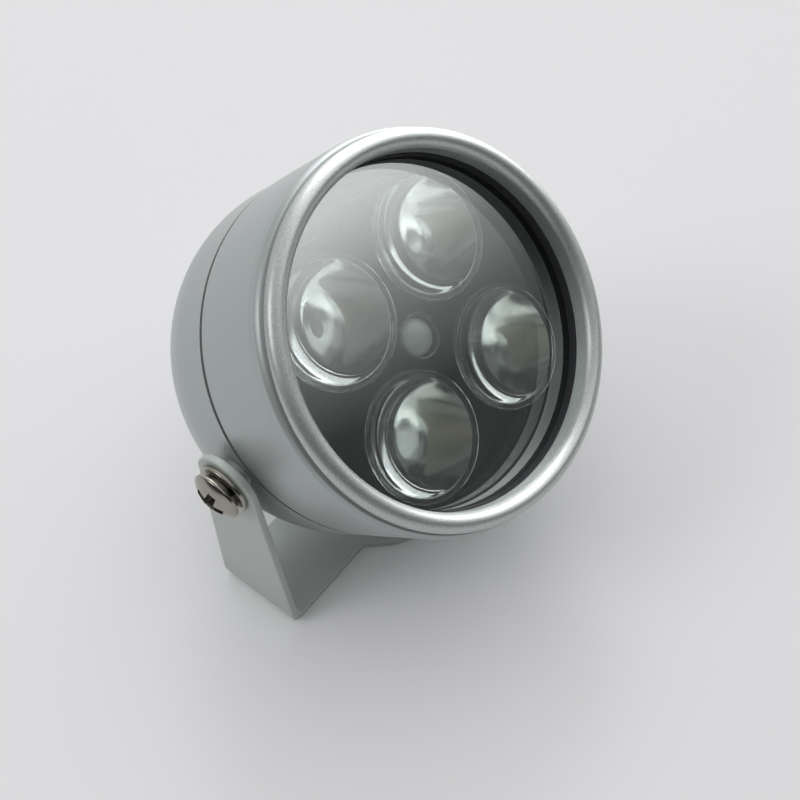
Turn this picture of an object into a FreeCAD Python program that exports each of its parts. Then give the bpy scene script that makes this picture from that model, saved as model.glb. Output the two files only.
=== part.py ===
"""Infrared illuminator: a round lamp head carried in a folded steel bracket.

Lengths are millimetres. +Z is up, the lamp head faces -Y, and the origin is the
centre of the bracket pad's underside. Head pieces are drawn level, with the tilt
pivot at the origin and the head axis along Y, and are then tilted and lifted.
A station is a distance behind the centre plane of the rolled rim.
"""
import FreeCAD, Part
import math
import os

# Bracket
PIVOT_HEIGHT = 35.2
SHEET = 1.2
HEAD_CLEARANCE = 1.5
EAR_R = 5.3
ARM_FOOT_HALF = 7.8
FOLD_OUTER_R = 2.2
PAD_R = 15.0
PAD_NECK_R = 1.6
PAD_HOLE_R = 2.1
PAD_HOLE_CIRCLE_R = 10.0
PAD_HOLE_COUNT = 3
PAD_HOLE_START = -90.0
PAD_CENTRE_HOLE_R = 3.2

# Head tilt in the rest pose, nose up
TILT = 45.0

# Stations along the head axis
PIVOT_STATION = 21.4
RIM_BACK_STATION = 1.8
SEAT_STATION = 1.4
GLASS_STATION = 2.75
GLASS_THICK = 1.6
SPIGOT_STATION = 11.0
BOARD_STATION = 16.0
BOARD_THICK = 1.6
FRONT_END_STATION = 17.2
SEAL_GAP = 0.6
LEDGE_BACK_STATION = 19.6
DOME_STATION = 25.5
DOME_LENGTH = 24.0
DRIVER_STATION = 26.0

# Radii of the turned housings
RIM_ROLL_R = 1.6
RIM_OUTER_R = 27.8
RIM_INSET = 0.2
GROOVE_DEPTH = 0.6
BODY_STEP = 0.5
FRONT_WALL = 1.6
GASKET_LIP = 0.15
SPIGOT_WALL = 1.6
REAR_WALL = 2.4
LEDGE_WIDTH = 2.1
TAIL_FLAT_R = 11.0

# Clearances
SLIDE_GAP = 0.1
SEAT_GAP = 0.2
RUNNING_GAP = 0.05

# Optics, four alike on a square
HOLDER_MARGIN = 1.1
HOLDER_GAP = 1.28
HOLDER_WALL = 0.9
HOLDER_TOP_STATION = 5.4
LENS_FLANGE_STATION = 6.6
LENS_FLANGE_THICK = 1.0
LENS_LAND = 0.6
LENS_CROWN = 1.0
LENS_BELLY_INSET = 1.4
LENS_BELLY = 4.6
HOLDER_STEP = 0.5
REFLECTOR_WALL = 0.6
REFLECTOR_FOOT_R = 3.6
LED_BASE_R = 3.2
LED_BASE_THICK = 0.9
LED_DOME_R = 2.2

# Light sensor in the middle
SENSOR_TOP_STATION = 7.2
SENSOR_R = 2.5
SENSOR_FLANGE_R = 2.8
SENSOR_FLANGE_THICK = 1.0
SLEEVE_R = 3.4
SLEEVE_WALL = 0.4

# Boards and their fixings
SPACER_INSET = 2.3
SPACER_R = 1.7
SPACER_BORE_R = 1.0
DRIVER_GAP = 0.6
DRIVER_THICK = 1.2
BOARD_SCREW_HEAD_R = 1.9
BOARD_SCREW_HEAD = 1.1
BOARD_SCREW_SHANK_R = 0.95
BOARD_SCREW_DEPTH = 3.0
INDUCTOR_R = 4.2
INDUCTOR_LENGTH = 5.0
CAPACITOR_R = 3.0
CAPACITOR_LENGTH = 7.5
CHIP_SIDE = 6.0
CHIP_THICK = 1.8
LINK_WIRE_R = 0.6
LINK_WIRE_OFFSET = 2.4

# Cable entry at the tail
GLAND_R = 5.0
GLAND_LENGTH = 6.0
GLAND_THREAD_R = 3.8
GLAND_BORE_R = 2.2
GLAND_NUT_R = 5.6
GLAND_NUT_THICK = 2.4
GLAND_LEAD = 1.2

# Pivot fasteners
BOSS_R = 3.4
BOSS_DEPTH = 6.0
SCREW_R = 2.0
SCREW_HEAD_R = 3.6
SCREW_HEAD = 2.4
SCREW_HEAD_RIM = 0.7
FLAT_WASHER_R = 4.2
FLAT_WASHER = 0.8
SPRING_WASHER_R = 3.4
SPRING_WASHER = 0.9
SPRING_WASHER_SLOT = 0.5
CROSS_WIDTH = 0.9
CROSS_LENGTH = 3.8
CROSS_DEPTH = 1.3

# Sizes that follow from the ones above
BODY_R = RIM_OUTER_R + RIM_INSET
RIM_GROOVE_R = RIM_OUTER_R - GROOVE_DEPTH
RIM_BORE_R = RIM_OUTER_R - 2 * RIM_ROLL_R
ARM_INSIDE = BODY_R + HEAD_CLEARANCE
ARM_OUTSIDE = ARM_INSIDE + SHEET
FRONT_BORE_R = BODY_R - FRONT_WALL
GLASS_R = FRONT_BORE_R - SLIDE_GAP
GASKET_BORE_R = RIM_BORE_R - GASKET_LIP
GLASS_BACK_STATION = GLASS_STATION + GLASS_THICK
SPIGOT_R = FRONT_BORE_R - SLIDE_GAP
SPIGOT_BORE_R = SPIGOT_R - SPIGOT_WALL
BOARD_BACK_STATION = BOARD_STATION + BOARD_THICK
REAR_STATION = FRONT_END_STATION + SEAL_GAP
REAR_BORE_R = BODY_R - REAR_WALL
LEDGE_R = SPIGOT_BORE_R - LEDGE_WIDTH
DRIVER_R = LEDGE_R - DRIVER_GAP
SPACER_CIRCLE_R = LEDGE_R - SPACER_INSET

# Four equal holders that fill the bore, HOLDER_GAP apart
HOLDER_SPAN = (SPIGOT_BORE_R - HOLDER_MARGIN) * math.sqrt(2) - HOLDER_GAP
HOLDER_R = HOLDER_SPAN / (2 + math.sqrt(2))
OPTIC_CIRCLE_R = SPIGOT_BORE_R - HOLDER_MARGIN - HOLDER_R
LENS_R = HOLDER_R - HOLDER_WALL - SLIDE_GAP
LENS_DOME_R = LENS_R - LENS_LAND
LENS_BELLY_R = LENS_R - LENS_BELLY_INSET
QUARTERS = {
    "upper_left": (-1, 1),
    "upper_right": (1, 1),
    "lower_left": (-1, -1),
    "lower_right": (1, -1),
}


def at(radius, station):
    """A point of a turned profile, from its radius and station."""
    return FreeCAD.Vector(radius, station - PIVOT_STATION, 0)


def turned(edges):
    """The solid that a closed profile sweeps round the head axis."""
    face = Part.Face(Part.Wire(edges))
    return face.revolve(FreeCAD.Vector(0, 0, 0), FreeCAD.Vector(0, 1, 0), 360)


def lines(points):
    """Straight edges through a list of (radius, station) points."""
    ends = [at(r, s) for r, s in points]
    return [Part.makeLine(a, b) for a, b in zip(ends, ends[1:])]


def turned_polygon(points):
    return turned(lines(points + [points[0]]))


def ring(outer, inner, start, end):
    """A plain ring or, with no inner radius, a disc."""
    return turned_polygon([(inner, start), (outer, start), (outer, end), (inner, end)])


def along_axis(x, z, shape):
    """Moves a piece drawn on the head axis to its own place on the board."""
    moved = shape.copy()
    moved.translate(FreeCAD.Vector(x, 0, z))
    return moved


def optic_place(signs):
    reach = OPTIC_CIRCLE_R / math.sqrt(2)
    return signs[0] * reach, signs[1] * reach


def spacer_places():
    for quarter in range(4):
        angle = math.radians(90 * quarter)
        yield SPACER_CIRCLE_R * math.cos(angle), SPACER_CIRCLE_R * math.sin(angle)


def tilted(shape):
    """Takes a level head piece to its rest pose in the bracket."""
    placed = shape.copy()
    placed.rotate(FreeCAD.Vector(0, 0, 0), FreeCAD.Vector(1, 0, 0), -TILT)
    placed.translate(FreeCAD.Vector(0, 0, PIVOT_HEIGHT))
    return placed


def dome_edge(radius, length, stop_radius):
    """The elliptical profile of the tail, from the full radius to a smaller one."""
    ellipse = Part.Ellipse(at(0, DOME_STATION), radius, length)
    stop = math.acos(stop_radius / radius)
    return Part.ArcOfEllipse(ellipse, 0, stop).toShape()


def dome_end(radius, length, stop_radius):
    """The station where that profile reaches the smaller radius."""
    return DOME_STATION + length * math.sqrt(1 - (stop_radius / radius) ** 2)


def cap(edge_r, edge_station, pole_station):
    """A round profile from an edge to its pole, centred on the head axis."""
    height = pole_station - edge_station
    ball_r = (edge_r ** 2 + height ** 2) / (2 * abs(height))
    half = math.atan2(edge_r, ball_r - abs(height)) / 2
    centre = pole_station - math.copysign(ball_r, height)
    middle = at(ball_r * math.sin(half), centre + math.copysign(ball_r * math.cos(half), height))
    return Part.Arc(at(edge_r, edge_station), middle, at(0, pole_station)).toShape()


def front_housing():
    centre_r = RIM_OUTER_R - RIM_ROLL_R
    back = math.acos((RIM_GROOVE_R - centre_r) / RIM_ROLL_R)
    groove = at(RIM_GROOVE_R, RIM_ROLL_R * math.sin(back))
    half = at(centre_r + RIM_ROLL_R * math.cos(back / 2), RIM_ROLL_R * math.sin(back / 2))
    roll = Part.Arc(at(RIM_BORE_R, 0), at(centre_r, -RIM_ROLL_R), at(RIM_OUTER_R, 0)).toShape()
    shoulder = Part.Arc(at(RIM_OUTER_R, 0), half, groove).toShape()
    rest = [
        (RIM_GROOVE_R, RIM_ROLL_R * math.sin(back)),
        (RIM_GROOVE_R, RIM_BACK_STATION),
        (BODY_R, RIM_BACK_STATION + BODY_STEP),
        (BODY_R, FRONT_END_STATION),
        (FRONT_BORE_R, FRONT_END_STATION),
        (FRONT_BORE_R, SEAT_STATION),
        (RIM_BORE_R, SEAT_STATION),
        (RIM_BORE_R, 0),
    ]
    return turned([roll, shoulder] + lines(rest))


def tail_stations():
    """Outside and inside stations of the flat that carries the cable gland."""
    outside = dome_end(BODY_R, DOME_LENGTH, TAIL_FLAT_R)
    return outside, dome_end(REAR_BORE_R, DOME_LENGTH - REAR_WALL, TAIL_FLAT_R)


def rear_housing():
    outer = dome_edge(BODY_R, DOME_LENGTH, TAIL_FLAT_R)
    inner = dome_edge(REAR_BORE_R, DOME_LENGTH - REAR_WALL, TAIL_FLAT_R)
    outer_tail, inner_tail = tail_stations()
    gland_hole_r = GLAND_THREAD_R + SLIDE_GAP
    tail = [
        (TAIL_FLAT_R, outer_tail),
        (gland_hole_r, outer_tail),
        (gland_hole_r, inner_tail),
        (TAIL_FLAT_R, inner_tail),
    ]
    mouth = [
        (REAR_BORE_R, DOME_STATION),
        (REAR_BORE_R, LEDGE_BACK_STATION + REAR_BORE_R - LEDGE_R),
        (LEDGE_R, LEDGE_BACK_STATION),
        (LEDGE_R, BOARD_BACK_STATION),
        (SPIGOT_BORE_R, BOARD_BACK_STATION),
        (SPIGOT_BORE_R, SPIGOT_STATION),
        (SPIGOT_R, SPIGOT_STATION),
        (SPIGOT_R, REAR_STATION),
        (BODY_R, REAR_STATION),
        (BODY_R, DOME_STATION),
    ]
    shell = turned([outer] + lines(tail) + [inner] + lines(mouth))
    for side in (-1, 1):
        boss = Part.makeCylinder(
            BOSS_R,
            BOSS_DEPTH,
            FreeCAD.Vector(side * ARM_INSIDE, 0, 0),
            FreeCAD.Vector(-side, 0, 0),
        )
        hole = Part.makeCylinder(
            SCREW_R + RUNNING_GAP,
            BOSS_DEPTH,
            FreeCAD.Vector(side * ARM_INSIDE, 0, 0),
            FreeCAD.Vector(-side, 0, 0),
        )
        shell = shell.fuse(boss).cut(hole)
    return shell.removeSplitter()


def housing_seal():
    inset = 0.25
    return ring(BODY_R - inset, SPIGOT_R + SLIDE_GAP, FRONT_END_STATION, REAR_STATION)


def glass_gasket():
    return ring(FRONT_BORE_R - SLIDE_GAP, GASKET_BORE_R, SEAT_STATION, GLASS_STATION)


def cover_glass():
    return ring(GLASS_R, 0, GLASS_STATION, GLASS_BACK_STATION)


def glass_retainer():
    bore = RIM_BORE_R
    lip = 1.0
    return turned_polygon([
        (bore, GLASS_BACK_STATION),
        (GLASS_R, GLASS_BACK_STATION),
        (GLASS_R, SPIGOT_STATION - SEAT_GAP),
        (bore - lip, SPIGOT_STATION - SEAT_GAP),
        (bore - lip, SPIGOT_STATION - SEAT_GAP - lip),
        (bore, SPIGOT_STATION - SEAT_GAP - 2 * lip),
    ])


def led_board():
    board = ring(SPIGOT_BORE_R - SEAT_GAP, 0, BOARD_STATION, BOARD_BACK_STATION)
    hole = ring(SPACER_BORE_R, 0, BOARD_STATION, BOARD_BACK_STATION)
    for x, z in spacer_places():
        board = board.cut(along_axis(x, z, hole))
    return board


def lens_holder():
    bore = HOLDER_R - HOLDER_WALL
    seat = LENS_FLANGE_STATION + LENS_FLANGE_THICK
    return turned_polygon([
        (bore, HOLDER_TOP_STATION),
        (HOLDER_R - HOLDER_WALL / 2, HOLDER_TOP_STATION),
        (HOLDER_R, HOLDER_TOP_STATION + HOLDER_WALL / 2),
        (HOLDER_R, BOARD_STATION),
        (bore - HOLDER_STEP, BOARD_STATION),
        (bore - HOLDER_STEP, seat),
        (bore, seat),
    ])


def lens():
    """A clear lens: shallow crown in front, full belly behind, flange between."""
    top = LENS_FLANGE_STATION
    base = top + LENS_FLANGE_THICK
    crown = cap(LENS_DOME_R, top, top - LENS_CROWN)
    belly = cap(LENS_BELLY_R, base, base + LENS_BELLY)
    edge = lines([(LENS_DOME_R, top), (LENS_R, top), (LENS_R, base), (LENS_BELLY_R, base)])
    core = lines([(0, base + LENS_BELLY), (0, top - LENS_CROWN)])
    return turned([crown] + edge + [belly] + core)


def reflector():
    """A silvered cup that hugs the lens belly and opens onto the emitter."""
    mouth_r = HOLDER_R - HOLDER_WALL - HOLDER_STEP - SLIDE_GAP
    top = LENS_FLANGE_STATION + LENS_FLANGE_THICK
    foot = BOARD_STATION
    waist = top + LENS_FLANGE_THICK
    return turned_polygon([
        (mouth_r - REFLECTOR_WALL, top),
        (mouth_r, top),
        (mouth_r, waist),
        (REFLECTOR_FOOT_R + REFLECTOR_WALL, foot),
        (REFLECTOR_FOOT_R, foot),
        (mouth_r - REFLECTOR_WALL, waist),
    ])


def led():
    base = ring(LED_BASE_R, 0, BOARD_STATION - LED_BASE_THICK, BOARD_STATION)
    top = BOARD_STATION - LED_BASE_THICK
    bulb = Part.makeSphere(LED_DOME_R, at(0, top))
    trim = ring(LED_BASE_R, 0, top, BOARD_STATION + LED_DOME_R)
    return base.fuse(bulb.cut(trim)).removeSplitter()


def photocell():
    tip = cap(SENSOR_R, SENSOR_TOP_STATION + SENSOR_R, SENSOR_TOP_STATION)
    side = lines([
        (SENSOR_R, SENSOR_TOP_STATION + SENSOR_R),
        (SENSOR_R, BOARD_STATION - SENSOR_FLANGE_THICK),
        (SENSOR_FLANGE_R, BOARD_STATION - SENSOR_FLANGE_THICK),
        (SENSOR_FLANGE_R, BOARD_STATION),
        (0, BOARD_STATION),
        (0, SENSOR_TOP_STATION),
    ])
    return turned([tip] + side)


def photocell_sleeve():
    return ring(SLEEVE_R, SLEEVE_R - SLEEVE_WALL, SENSOR_TOP_STATION, BOARD_STATION)


def at_spacers(shape):
    return Part.Compound([along_axis(x, z, shape) for x, z in spacer_places()])


def board_spacers():
    return at_spacers(ring(SPACER_R, SPACER_BORE_R, BOARD_BACK_STATION, DRIVER_STATION))


def board_screw(seat, direction):
    """A small screw whose head sits on a board at the given station."""
    head_end = seat - direction * BOARD_SCREW_HEAD
    tip = seat + direction * BOARD_SCREW_DEPTH
    return turned_polygon([
        (0, head_end),
        (BOARD_SCREW_HEAD_R * 0.7, head_end),
        (BOARD_SCREW_HEAD_R, head_end + direction * BOARD_SCREW_HEAD / 2),
        (BOARD_SCREW_HEAD_R, seat),
        (BOARD_SCREW_SHANK_R, seat),
        (BOARD_SCREW_SHANK_R, tip),
        (0, tip),
    ])


def led_board_screws():
    screw = board_screw(BOARD_STATION, 1)
    places = [place for place in spacer_places() if abs(place[0]) < SPACER_R]
    return Part.Compound([along_axis(x, z, screw) for x, z in places])


def driver_screws():
    return at_spacers(board_screw(DRIVER_STATION + DRIVER_THICK, -1))


def driver_board():
    back = DRIVER_STATION + DRIVER_THICK
    board = ring(DRIVER_R, 0, DRIVER_STATION, back)
    hole = ring(SPACER_BORE_R, 0, DRIVER_STATION, back)
    for x, z in spacer_places():
        board = board.cut(along_axis(x, z, hole))
    return board


def driver_inductor():
    back = DRIVER_STATION + DRIVER_THICK
    flange = INDUCTOR_LENGTH / 5
    waist = INDUCTOR_R * 0.8
    body = turned_polygon([
        (0, back),
        (INDUCTOR_R, back),
        (INDUCTOR_R, back + flange),
        (waist, back + flange),
        (waist, back + INDUCTOR_LENGTH - flange),
        (INDUCTOR_R, back + INDUCTOR_LENGTH - flange),
        (INDUCTOR_R, back + INDUCTOR_LENGTH),
        (0, back + INDUCTOR_LENGTH),
    ])
    return along_axis(-INDUCTOR_R * 1.6, INDUCTOR_R, body)


def driver_capacitor():
    back = DRIVER_STATION + DRIVER_THICK
    body = ring(CAPACITOR_R, 0, back, back + CAPACITOR_LENGTH)
    return along_axis(CAPACITOR_R * 2.2, CAPACITOR_R * 1.5, body)


def driver_chip():
    side = CHIP_SIDE
    back = DRIVER_STATION + DRIVER_THICK - PIVOT_STATION
    corner = FreeCAD.Vector(-side / 2, back, -side * 1.6)
    return Part.makeBox(side, CHIP_THICK, side, corner)


def link_wires():
    wire = ring(LINK_WIRE_R, 0, BOARD_BACK_STATION, DRIVER_STATION)
    return Part.Compound([along_axis(side * LINK_WIRE_OFFSET, 0, wire) for side in (-1, 1)])


def cable_gland():
    tail, inside = tail_stations()
    inner_end = inside - GLAND_NUT_THICK - GLAND_LEAD
    return turned_polygon([
        (GLAND_BORE_R, inner_end),
        (GLAND_THREAD_R, inner_end),
        (GLAND_THREAD_R, tail),
        (GLAND_R, tail),
        (GLAND_R, tail + GLAND_LENGTH / 3),
        (GLAND_BORE_R + GLAND_LEAD, tail + GLAND_LENGTH),
        (GLAND_BORE_R, tail + GLAND_LENGTH),
    ])


def gland_nut():
    seat = tail_stations()[1]
    face = seat - PIVOT_STATION
    corners = Part.makePolygon([
        FreeCAD.Vector(
            GLAND_NUT_R * math.cos(math.radians(60 * k)),
            face,
            GLAND_NUT_R * math.sin(math.radians(60 * k)),
        )
        for k in range(7)
    ])
    nut = Part.Face(corners).extrude(FreeCAD.Vector(0, -GLAND_NUT_THICK, 0))
    return nut.cut(ring(GLAND_THREAD_R + SLIDE_GAP, 0, seat - GLAND_NUT_THICK, seat))


def across(radius, start, length, side):
    """A cylinder on the pivot axis, from start outward, on one side of the head."""
    base = FreeCAD.Vector(side * start, 0, 0)
    return Part.makeCylinder(radius, length, base, FreeCAD.Vector(side, 0, 0))


def pivot_screw(side):
    """A pan head screw with a cross recess, threaded into the housing boss."""
    seat = ARM_OUTSIDE + FLAT_WASHER + SPRING_WASHER
    shank_start = ARM_INSIDE - BOSS_DEPTH
    shank = across(SCREW_R, shank_start, seat - shank_start, side)
    rim = across(SCREW_HEAD_R, seat, SCREW_HEAD_RIM, side)
    crown_start = seat + SCREW_HEAD_RIM
    crown_height = SCREW_HEAD - SCREW_HEAD_RIM
    ball_r = (SCREW_HEAD_R ** 2 + crown_height ** 2) / (2 * crown_height)
    ball_at = FreeCAD.Vector(side * (crown_start + crown_height - ball_r), 0, 0)
    crown = Part.makeSphere(ball_r, ball_at).common(across(SCREW_HEAD_R, crown_start, crown_height, side))
    head = rim.fuse(crown)
    floor = seat + SCREW_HEAD - CROSS_DEPTH
    low = min(side * floor, side * (floor + SCREW_HEAD))
    for wide, tall in ((CROSS_WIDTH, CROSS_LENGTH), (CROSS_LENGTH, CROSS_WIDTH)):
        corner = FreeCAD.Vector(low, -wide / 2, -tall / 2)
        head = head.cut(Part.makeBox(SCREW_HEAD, wide, tall, corner))
    return head.fuse(shank).removeSplitter()


def flat_washer(side):
    disc = across(FLAT_WASHER_R, ARM_OUTSIDE, FLAT_WASHER, side)
    return disc.cut(across(SCREW_R + SEAT_GAP, ARM_OUTSIDE, FLAT_WASHER, side))


def spring_washer(side):
    """A split lock washer."""
    start = ARM_OUTSIDE + FLAT_WASHER
    disc = across(SPRING_WASHER_R, start, SPRING_WASHER, side)
    disc = disc.cut(across(SCREW_R + SEAT_GAP, start, SPRING_WASHER, side))
    low = min(side * start, side * (start + SPRING_WASHER))
    corner = FreeCAD.Vector(low, -SPRING_WASHER_SLOT / 2, 0)
    return disc.cut(Part.makeBox(SPRING_WASHER, SPRING_WASHER_SLOT, SPRING_WASHER_R, corner))


def both_sides(maker):
    return Part.Compound([maker(side) for side in (-1, 1)])


def folded_strip():
    """The U that the flat strip becomes, as wide as its foot, before it is trimmed."""
    height = PIVOT_HEIGHT + EAR_R
    outer = Part.makeBox(
        2 * ARM_OUTSIDE, 2 * PAD_R, height, FreeCAD.Vector(-ARM_OUTSIDE, -PAD_R, 0)
    )
    outer = outer.makeFillet(FOLD_OUTER_R, lengthwise_edges(outer, ARM_OUTSIDE, 0))
    inner = Part.makeBox(
        2 * ARM_INSIDE, 2 * PAD_R, height, FreeCAD.Vector(-ARM_INSIDE, -PAD_R, SHEET)
    )
    inner = inner.makeFillet(FOLD_OUTER_R - SHEET, lengthwise_edges(inner, ARM_INSIDE, SHEET))
    return outer.cut(inner)


def lengthwise_edges(box, half_width, level):
    """The two edges of a box that run along Y at the given half width and height."""
    found = []
    for edge in box.Edges:
        middle = edge.BoundBox.Center
        along_y = edge.BoundBox.YLength > PAD_R
        if along_y and abs(abs(middle.x) - half_width) < SLIDE_GAP and abs(middle.z - level) < SLIDE_GAP:
            found.append(edge)
    return found


def arm_outline():
    """Side view of both arms: a taper that runs into a round ear."""
    rise = PIVOT_HEIGHT - FOLD_OUTER_R
    reach = math.hypot(ARM_FOOT_HALF, rise)
    touch = math.acos(EAR_R / reach) - math.atan2(rise, ARM_FOOT_HALF)
    half = EAR_R * math.cos(touch)
    height = PIVOT_HEIGHT + EAR_R * math.sin(touch)
    right = [(ARM_FOOT_HALF, 0), (ARM_FOOT_HALF, FOLD_OUTER_R), (half, height)]
    left = [(-y, z) for y, z in reversed(right)]
    corners = [FreeCAD.Vector(-ARM_OUTSIDE, y, z) for y, z in right + left]
    plate = Part.Face(Part.makePolygon(corners + [corners[0]]))
    taper = plate.extrude(FreeCAD.Vector(2 * ARM_OUTSIDE, 0, 0))
    ear_at = FreeCAD.Vector(-ARM_OUTSIDE, 0, PIVOT_HEIGHT)
    ear = Part.makeCylinder(EAR_R, 2 * ARM_OUTSIDE, ear_at, FreeCAD.Vector(1, 0, 0))
    return taper.fuse(ear).removeSplitter()


def pad():
    """The round pad, joined to the strip by small concave necks."""
    disc = Part.makeCylinder(PAD_R, SHEET)
    reach = PAD_R + PAD_NECK_R
    strip = Part.makeBox(
        2 * reach, 2 * ARM_FOOT_HALF, SHEET, FreeCAD.Vector(-reach, -ARM_FOOT_HALF, 0)
    )
    plate = disc.fuse(strip).removeSplitter()
    meet_x = math.sqrt(PAD_R ** 2 - ARM_FOOT_HALF ** 2)
    corners = []
    for edge in plate.Edges:
        middle = edge.BoundBox.Center
        upright = edge.BoundBox.ZLength > SHEET / 2 and edge.BoundBox.XLength < SLIDE_GAP
        if upright and abs(abs(middle.x) - meet_x) < SLIDE_GAP:
            corners.append(edge)
    return plate.makeFillet(PAD_NECK_R, corners)


def bracket():
    body = folded_strip().common(arm_outline()).fuse(pad()).removeSplitter()
    body = body.cut(Part.makeCylinder(PAD_CENTRE_HOLE_R, SHEET))
    for k in range(PAD_HOLE_COUNT):
        angle = math.radians(PAD_HOLE_START + 360 * k / PAD_HOLE_COUNT)
        centre = FreeCAD.Vector(
            PAD_HOLE_CIRCLE_R * math.cos(angle), PAD_HOLE_CIRCLE_R * math.sin(angle), 0
        )
        body = body.cut(Part.makeCylinder(PAD_HOLE_R, SHEET, centre))
    pin = Part.makeCylinder(
        SCREW_R + RUNNING_GAP,
        2 * ARM_OUTSIDE,
        FreeCAD.Vector(-ARM_OUTSIDE, 0, PIVOT_HEIGHT),
        FreeCAD.Vector(1, 0, 0),
    )
    return body.cut(pin)


HEAD = {
    "front_housing": front_housing,
    "rear_housing": rear_housing,
    "housing_seal": housing_seal,
    "glass_gasket": glass_gasket,
    "cover_glass": cover_glass,
    "glass_retainer": glass_retainer,
    "led_board": led_board,
    "led_board_screws": led_board_screws,
    "board_spacers": board_spacers,
    "driver_board": driver_board,
    "driver_screws": driver_screws,
    "driver_inductor": driver_inductor,
    "driver_capacitor": driver_capacitor,
    "driver_chip": driver_chip,
    "link_wires": link_wires,
    "photocell": photocell,
    "photocell_sleeve": photocell_sleeve,
    "cable_gland": cable_gland,
    "gland_nut": gland_nut,
}
OPTICS = {"lens_holder": lens_holder, "lens": lens, "reflector": reflector, "led": led}
FASTENERS = {
    "pivot_screws": pivot_screw,
    "flat_washers": flat_washer,
    "spring_washers": spring_washer,
}


def save(name, shape):
    shape.exportStep(os.path.join("parts", name + ".step"))


os.makedirs("parts", exist_ok=True)
save("bracket", bracket())
for name, maker in HEAD.items():
    save(name, tilted(maker()))
for name, maker in OPTICS.items():
    drawn = maker()
    for quarter, signs in QUARTERS.items():
        save(name + "_" + quarter, tilted(along_axis(*optic_place(signs), drawn)))
for name, maker in FASTENERS.items():
    save(name, tilted(both_sides(maker)))
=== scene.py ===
"""The looks of an infrared illuminator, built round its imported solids.

Lengths are metres in the part's own frame: +Z up, the lamp head facing -Y and tilted
up, the origin under the middle of the bracket's pad. A station is a distance along the
head's axis, counted backward from a plane 21.4 mm in front of the tilt pivot.
"""

import math

import bmesh
import bpy
from bpy.props import FloatProperty, FloatVectorProperty, IntProperty, PointerProperty
from mathutils import Matrix, Vector


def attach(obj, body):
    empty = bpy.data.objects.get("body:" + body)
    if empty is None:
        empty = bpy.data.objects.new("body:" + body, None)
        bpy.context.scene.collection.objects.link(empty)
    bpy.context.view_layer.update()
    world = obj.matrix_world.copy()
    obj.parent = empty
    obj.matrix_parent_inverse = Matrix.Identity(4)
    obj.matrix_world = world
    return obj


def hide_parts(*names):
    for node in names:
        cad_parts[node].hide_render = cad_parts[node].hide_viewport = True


bl_info = {
    "name": "Infrared illuminator",
    "version": (1, 0, 0),
    "blender": (4, 5, 0),
    "location": "View3D > Sidebar > Illuminator",
    "description": "Builds a tilting infrared lamp head and its folded bracket",
    "category": "Object",
}

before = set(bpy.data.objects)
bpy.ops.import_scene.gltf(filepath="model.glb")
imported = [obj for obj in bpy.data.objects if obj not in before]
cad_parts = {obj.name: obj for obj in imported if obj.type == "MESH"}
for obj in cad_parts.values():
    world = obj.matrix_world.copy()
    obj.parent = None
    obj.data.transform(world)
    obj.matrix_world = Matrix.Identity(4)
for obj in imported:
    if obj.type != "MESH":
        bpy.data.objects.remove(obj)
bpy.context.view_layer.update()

MM = 0.001
FIT = 0.1 * MM  # play of a piece that slides into another
WASHER_PLAY = 0.2 * MM  # play of a washer on its screw
OWN = "illuminator_"
QUARTERS = {
    "upper_left": (-1, 1),
    "upper_right": (1, 1),
    "lower_left": (-1, -1),
    "lower_right": (1, -1),
}
CAMERA_PLACE = Vector((-71.14, -65.21, 152.02)) * MM
CAMERA_RIGHT = Vector((0.61325, -0.78956, -0.02263))
CAMERA_UP = Vector((0.64311, 0.48247, 0.59466))
CAMERA_LENS = 44.75
CEILING_WAY = (0.3, 0.42, 0.857)
WINDOW_WAY = (0.855, 0.252, 0.453)
# Brightness of the room by height, from side to side and towards its window
HEIGHT_STOPS = [(0.0, 0.05), (0.12, 0.06), (0.18, 0.18), (0.24, 0.38), (0.32, 1.0), (1.0, 1.0)]
SIDE_STOPS = [(0.2, 0.0), (0.35, 0.15), (0.52, 0.15), (0.62, 0.3), (0.72, 1.0)]
WINDOW_STOPS = [(0.72, 0.0), (0.9, 1.0)]


def length(name, millimetres, description):
    """A length property with its default given in millimetres."""
    return FloatProperty(
        name=name,
        description=description,
        default=millimetres * MM,
        min=0.0,
        precision=5,
        unit="LENGTH",
    )


def colour(name, value, description):
    return FloatVectorProperty(
        name=name,
        description=description,
        default=value,
        min=0.0,
        max=1.0,
        size=3,
        subtype="COLOR",
    )


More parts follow.
